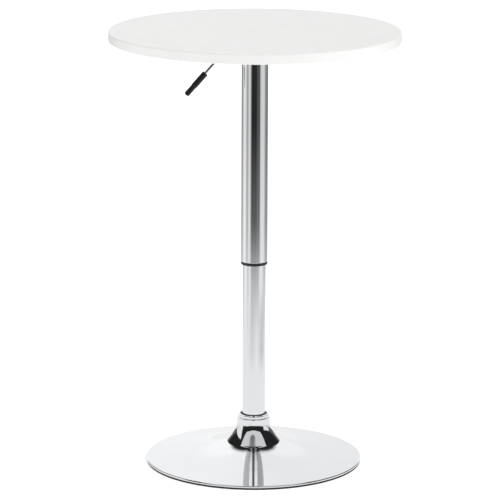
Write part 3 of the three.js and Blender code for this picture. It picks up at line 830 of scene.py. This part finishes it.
def build_floor_card():
    """The floor that the chrome sees."""
    vertices = []
    for radius in CARD_RINGS:
        for k in range(CARD_FACETS):
            angle = 2 * math.pi * k / CARD_FACETS
            vertices.append((radius * math.cos(angle), radius * math.sin(angle), CARD_HEIGHT))
    faces = ring_faces(len(CARD_RINGS), CARD_FACETS)
    card = stage_mesh("floor_mirror_card", vertices, faces, floor_light())
    card.visible_camera = False
    card.visible_diffuse = False
    card.visible_shadow = False


# ---------------------------------------------------------------- world

# The backdrop behind the table, by degrees from the camera's side and degrees above the horizon.
BACKDROP_CENTRE = (180, 15)
BACKDROP_HALF = (29, 43)
BACKDROP_FROM = 152  # degrees: below 12 degrees up, it is straight sided
BACKDROP_LEFT = 1.255
BACKDROP_RIGHT = 1.15
BESIDE_NECK = 0.1

SIDE_LIGHT = 1.1  # the cards to the left and the right
CORNER_LIGHT = 0.15  # between those and the backdrop
DARK_STUDIO = 0.022

# The octabox over the table, in the plane one metre above the mirror: places and half sizes.
OCTABOX_CENTRE = (0.0, -1.3)
OCTABOX_HALF = (1.27, 1.8)
OCTABOX_STRENGTH = 0.86
HEAD_CENTRE = (-0.08, -0.72)  # the dark lamp head in the middle of it
HEAD_HALF = (0.22, 0.38)

# What the tubes show where they are themselves seen in the base, by degrees from the camera's side.
STRIPE_START = 0.17
STRIPE_STEPS = ((9, 17, 1.15), (42, 52, -0.6), (110, 130, 0.1))
RIGHT_WALL = -0.15
STRIPE_DARK = 0.03
STRIPE_CEILING = (55.5, 58.5)

SOFT_LIGHT = 1.38
CAMERA_WHITE = 1.05


class Studio(Graph):
    """The world's nodes: a studio as the chrome sees it, and plain light for the rest."""

    def __init__(self, tree):
        super().__init__(tree)
        parts = self.add("ShaderNodeSeparateXYZ")
        self.join(self.add("ShaderNodeTexCoord").outputs["Generated"], parts.inputs[0])
        self.x, self.y, self.z = parts.outputs[0], parts.outputs[1], parts.outputs[2]
        degrees = 180 / math.pi
        back = self.maths("MULTIPLY", self.y, -1.0)
        self.azimuth = self.product(self.maths("ARCTAN2", self.x, back), degrees)
        self.elevation = self.product(self.maths("ARCSINE", self.z), degrees)
        self.turned_back = self.maths("ABSOLUTE", self.azimuth)
        overhead = self.maths("MAXIMUM", self.z, 0.02)
        self.plan_x = self.maths("DIVIDE", self.x, overhead)
        self.plan_y = self.maths("DIVIDE", self.y, overhead)
        self.path = self.add("ShaderNodeLightPath")

    def between(self, value, low, high, soft):
        """1 from low to high, with soft ends."""
        rise = self.ranged(value, low - soft, low + soft, smooth=True)
        fall = self.ranged(value, high - soft, high + soft, smooth=True)
        return self.product(rise, self.rest_of(fall))

    def window(self, sideways, across, up, soft, strength):
        """strength where sideways is in the range across and the elevation in the range up."""
        share = self.between(sideways, *across, soft[0])
        return self.product(share, self.between(self.elevation, *up, soft[1]), strength)

    def ellipse(self, a, b, centre, half, soft, strength=1.0):
        """strength inside an ellipse in the plane of a and b, 0 outside."""
        squares = []
        for value, middle, reach in zip((a, b), centre, half):
            off = self.maths("DIVIDE", self.maths("SUBTRACT", value, middle), reach)
            squares.append(self.product(off, off))
        return self.ranged(self.total(*squares), 1 - soft, 1 + soft, strength, 0.0, smooth=True)

    def backdrop(self):
        """White paper behind the table, a little brighter to the left and beside the neck."""
        oval = self.ellipse(self.turned_back, self.elevation, BACKDROP_CENTRE, BACKDROP_HALF, 0.2)
        foot = self.window(self.turned_back, (BACKDROP_FROM, 400), (-100, 12), (6, 8), 1.0)
        lean = self.ranged(self.x, -0.06, 0.06, BACKDROP_LEFT, BACKDROP_RIGHT, smooth=True)
        sideways = self.maths("ABSOLUTE", self.x)
        lean = self.total(lean, self.ranged(sideways, 0.12, 0.2, 0.0, BESIDE_NECK, smooth=True))
        return self.product(self.most(oval, foot), lean)

    def left_card(self):
        """A tall card on the left, cut off along a slope."""
        slope = self.total(self.product(self.x, 0.884), self.product(self.y, 1.04))
        under_slope = self.ranged(self.total(self.z, slope), -0.04, 0.04, 1.0, 0.0, smooth=True)
        slanted = self.total(self.azimuth, self.product(self.elevation, 0.2))
        return self.product(self.window(slanted, (-128, -75), (-8, 90), (4, 3), SIDE_LIGHT), under_slope)

    def octabox(self):
        """The lamp overhead, narrower to the back, with its dark head."""
        spread = self.ranged(self.plan_y, -1.53, 0.6, 0.85, 1.6)
        spread_x = self.product(self.plan_x, spread)
        lamp = self.ellipse(spread_x, self.plan_y, OCTABOX_CENTRE, OCTABOX_HALF, 0.07, OCTABOX_STRENGTH)
        head = self.ellipse(self.plan_x, self.plan_y, HEAD_CENTRE, HEAD_HALF, 0.9, 0.72)
        return self.product(lamp, self.rest_of(head))

    def mirrored(self):
        right_card = self.window(self.azimuth, (70, 112), (-8, 13), (5, 4), SIDE_LIGHT)
        corners = self.window(self.turned_back, (116, 152), (-8, 16), (5, 5), CORNER_LIGHT)
        return self.most(self.backdrop(), self.left_card(), right_card, corners, self.octabox(), DARK_STUDIO)

    def stripes(self):
        """The lamp stand, the lamp and the walls, dark overhead."""
        walls = self.ranged(self.azimuth, -10, 10, 0.0, RIGHT_WALL)
        walls = self.product(self.ranged(self.turned_back, 40, 50), walls)
        bright = STRIPE_START
        for low, high, change in STRIPE_STEPS:
            bright = self.total(self.ranged(self.turned_back, low, high, 0.0, change, smooth=True), bright)
        bright = self.total(bright, walls)
        ceiling = self.ranged(self.elevation, *STRIPE_CEILING)
        return self.most(self.maths("SUBTRACT", bright, ceiling), STRIPE_DARK)

    def for_chrome(self):
        twice = self.maths("GREATER_THAN", self.path.outputs["Glossy Depth"], 1.5)
        twice = self.product(twice, self.ranged(self.elevation, -1, 1))
        once = self.product(self.mirrored(), self.rest_of(twice))
        return self.total(once, self.product(self.stripes(), twice))

    def for_surfaces(self):
        """Soft light, dimmer on the left and behind, and brighter out to the sides."""
        soft = self.total(self.product(self.x, 0.3), self.product(self.y, -0.1))
        soft = self.total(soft, self.product(self.maths("MINIMUM", self.x, 0.0), 0.4))
        sides = self.maths("SUBTRACT", self.product(self.x, self.x), 0.25)
        return self.total(soft, self.product(sides, 0.9), SOFT_LIGHT)


def build_world():
    """White for the camera, soft white light for the surfaces, and a studio for the chrome."""
    world = bpy.data.worlds.new("studio")
    bpy.context.scene.world = world
    world.use_nodes = True
    world.node_tree.nodes.clear()
    studio = Studio(world.node_tree)
    glossy = studio.path.outputs["Is Glossy Ray"]
    seen = studio.product(studio.for_chrome(), glossy)
    other = studio.product(studio.for_surfaces(), studio.rest_of(glossy))
    white = studio.product(studio.path.outputs["Is Camera Ray"], CAMERA_WHITE)
    background = studio.add("ShaderNodeBackground")
    studio.join(studio.most(studio.total(seen, other), white), background.inputs["Strength"])
    output = studio.add("ShaderNodeOutputWorld")
    studio.join(background.outputs[0], output.inputs["Surface"])


# ---------------------------------------------------------------- camera

CAMERA_DISTANCE = 6.552
CAMERA_HEIGHT = 1.964
CAMERA_PITCH = math.radians(13.011)
CAMERA_ROLL = math.radians(0.231)
CAMERA_LENS = 233.6
CAMERA_SHIFT = -0.0085


def build_camera():
    data = bpy.data.cameras.new("camera")
    data.lens = CAMERA_LENS
    data.sensor_width = 36.0
    data.shift_x = CAMERA_SHIFT
    data.clip_start = 0.1
    data.clip_end = 100.0
    camera = bpy.data.objects.new("camera", data)
    bpy.context.scene.collection.objects.link(camera)
    place = Matrix.Translation((0, -CAMERA_DISTANCE, CAMERA_HEIGHT))
    tilt = Matrix.Rotation(math.pi / 2 - CAMERA_PITCH, 4, "X")
    camera.matrix_world = place @ tilt @ Matrix.Rotation(CAMERA_ROLL, 4, "Z")
    bpy.context.scene.camera = camera
    bpy.context.scene.view_settings.view_transform = "Standard"


build_camera()
refine_cad_nodes()
build_shell()
build_floor_ring()
build_plate_and_column()
build_neck_bush()
build_sleeve()
build_top()
build_lever_rod()
build_lever_grip()
build_floor()
build_floor_card()
build_world()
